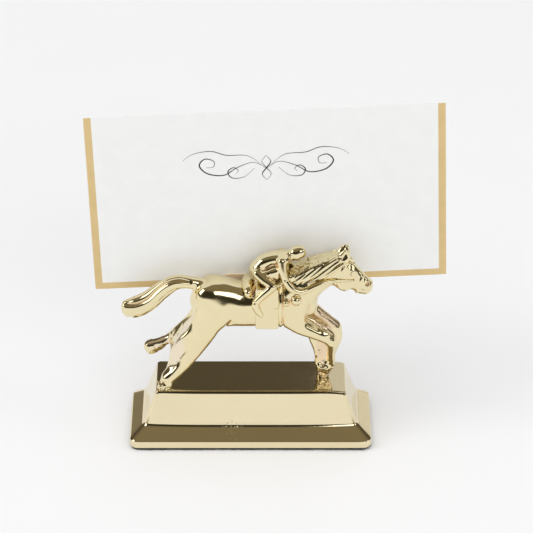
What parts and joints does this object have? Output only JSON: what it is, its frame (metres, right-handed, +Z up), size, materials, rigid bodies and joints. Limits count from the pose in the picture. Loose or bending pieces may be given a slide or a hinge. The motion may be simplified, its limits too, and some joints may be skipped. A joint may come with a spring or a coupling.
{
  "type": "place card holder",
  "caption": "Running horse and jockey figure on a stepped base, with a spring clip behind it that holds a folded place card.",
  "frame": {"origin": "middle of the felt's underside", "axes": "+Z up, +X the way the horse runs, +Y away from the viewer of the card"},
  "size_m": [0.0905, 0.0254, 0.0909],
  "materials": {
    "polished_brass": "mirror polished pale brass",
    "rose_brass": "bright rolled spring brass",
    "felt": "black felt",
    "steel": "bright zinc",
    "card_stock": "uncoated white card"
  },
  "bodies": {
    "holder": {"base_casting": "polished_brass", "felt_pad": "felt", "horse_casting": "polished_brass", "jockey_casting": "polished_brass", "hoof_screws": "steel", "screw_washers": "steel", "clip_front_leaf": "rose_brass", "clip_rear_leaf": "rose_brass", "clip_rivets": "rose_brass"},
    "card_front": {"card_front_leaf": "card_stock"},
    "card_rear": {"card_rear_leaf": "card_stock"}
  },
  "joints": [
    {"name": "card_lift", "type": "slide", "parent": "holder", "child": "card_front", "axis": [0.0019, -0.0697, 0.9976], "range_m": [0, 0.015]},
    {"name": "card_fold", "type": "hinge", "parent": "card_front", "child": "card_rear", "pos_m": [0.00353, 0.00344, 0.08899], "axis": [0.9991, 0.0255, 0.0348], "range_deg": [-2, 170], "stiffness_Nm_per_rad": 0.004, "springref_deg": 0.77}
  ]
}
